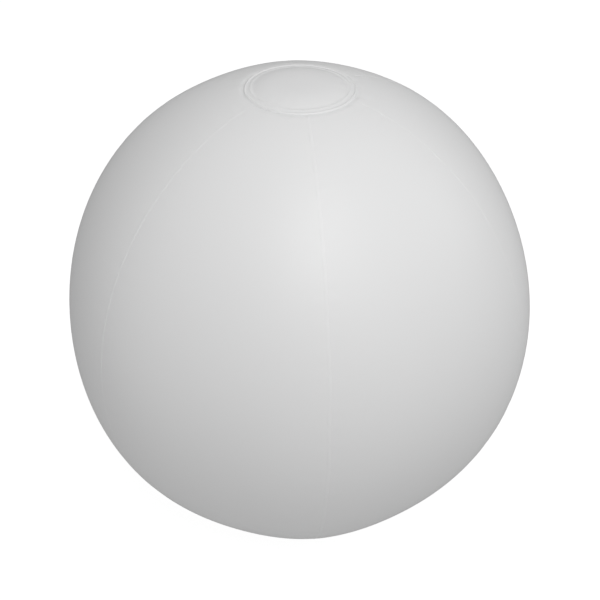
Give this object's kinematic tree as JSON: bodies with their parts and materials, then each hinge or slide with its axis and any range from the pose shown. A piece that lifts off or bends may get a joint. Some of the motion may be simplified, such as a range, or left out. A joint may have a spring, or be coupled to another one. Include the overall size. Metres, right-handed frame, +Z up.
{
  "type": "floating pool light",
  "caption": "Inflatable ball light for a pool: welded vinyl gores, a recessed valve, and a battery LED unit that pulls out of a socket in the lower pole, with a screw cap and push switch.",
  "frame": {"origin": "centre of the light unit's foot, the lowest face, under the middle of the globe", "axes": "+Z up through both poles of the globe; +Y towards the rear gore, which holds the inflation valve"},
  "size_m": [0.3498, 0.3436, 0.3631],
  "materials": {
    "white_vinyl": "satin translucent white vinyl film",
    "soft_vinyl": "milky soft vinyl",
    "clear_vinyl": "clear vinyl film",
    "white_shell": "moulded white plastic",
    "frosted_lens": "frosted clear plastic",
    "silicone": "matt silicone",
    "bright_reflector": "bright metallised plastic",
    "circuit_board": "white solder mask",
    "led_package": "yellow phosphor under clear resin",
    "black_plastic": "moulded black plastic",
    "nickel": "nickel-plated spring steel",
    "cell_jacket": "printed metal jacket, left plain"
  },
  "bodies": {
    "globe": {"gore_front": "white_vinyl", "gore_front_right": "white_vinyl", "gore_rear_right": "white_vinyl", "gore_rear": "white_vinyl", "gore_rear_left": "white_vinyl", "gore_front_left": "white_vinyl", "top_disc": "white_vinyl", "bottom_disc": "white_vinyl", "light_socket": "soft_vinyl", "socket_window": "clear_vinyl", "valve_flange": "soft_vinyl"},
    "light_unit": {"light_housing": "white_shell", "lens": "frosted_lens", "lens_ring": "white_shell", "lens_seal": "silicone", "reflector": "bright_reflector", "led_board": "circuit_board", "led_1": "led_package", "led_2": "led_package", "led_3": "led_package", "led_4": "led_package", "led_5": "led_package", "led_6": "led_package", "driver_chip": "black_plastic", "board_screw_1": "nickel", "board_screw_2": "nickel", "board_pin_1": "nickel", "board_pin_2": "nickel", "cell_tray": "black_plastic", "cell_1": "cell_jacket", "cell_2": "cell_jacket", "cell_3": "cell_jacket", "contact_plate_1": "nickel", "contact_plate_2": "nickel", "contact_plate_3": "nickel", "contact_spring_1": "nickel", "contact_spring_2": "nickel", "contact_spring_3": "nickel", "tray_ring_track": "nickel", "tray_centre_pad": "nickel"},
    "cap_seal": {"cap_seal": "silicone"},
    "battery_cap": {"battery_cap": "white_shell", "button_diaphragm": "silicone", "switch_body": "black_plastic", "switch_board": "circuit_board", "switch_spring": "nickel", "switch_ring_contact": "nickel"},
    "power_button": {"power_button": "silicone"},
    "switch_plunger": {"switch_plunger": "silicone"},
    "valve_stem": {"valve_stem": "soft_vinyl", "valve_skirt": "soft_vinyl", "plug_strap": "soft_vinyl"},
    "valve_plug": {"valve_plug": "soft_vinyl"},
    "valve_flap": {"valve_flap": "soft_vinyl"}
  },
  "joints": [
    {"name": "light_unit_pull", "type": "slide", "parent": "globe", "child": "light_unit", "axis": [0, 0, -1], "range_m": [0, 0.045]},
    {"name": "cap_lift", "type": "slide", "parent": "light_unit", "child": "cap_seal", "axis": [0, 0, -1], "range_m": [0, 0.0065]},
    {"name": "cap_turn", "type": "hinge", "parent": "cap_seal", "child": "battery_cap", "pos_m": [0, 0, 0.004], "axis": [0, 0, -1], "range_deg": [0, 576]},
    {"name": "button_press", "type": "slide", "parent": "battery_cap", "child": "power_button", "axis": [0, 0, 1], "range_m": [0, 0.0006], "stiffness_N_per_m": 3000, "springref_m": -0.0002, "deforming": ["button_diaphragm"]},
    {"name": "plunger_press", "type": "slide", "parent": "battery_cap", "child": "switch_plunger", "axis": [0, 0, 1], "range_m": [0, 0.0006]},
    {"name": "valve_pop", "type": "slide", "parent": "globe", "child": "valve_stem", "axis": [0, 0.7071, -0.7071], "range_m": [0, 0.01], "deforming": ["valve_skirt"]},
    {"name": "plug_pull", "type": "slide", "parent": "valve_stem", "child": "valve_plug", "axis": [0, 0.7071, -0.7071], "range_m": [0, 0.008], "deforming": ["plug_strap"]},
    {"name": "flap_swing", "type": "hinge", "parent": "valve_stem", "child": "valve_flap", "pos_m": [0.0048, 0.10825, 0.06187], "axis": [0, 0.7071, 0.7071], "range_deg": [0, 50], "stiffness_Nm_per_rad": 0.0001, "springref_deg": -17.19}
  ],
  "couplings": [
    {"joint": "cap_lift", "follows": "cap_turn", "m_per_rad": 0.00063662},
    {"joint": "plunger_press", "follows": "button_press", "ratio": 1}
  ]
}
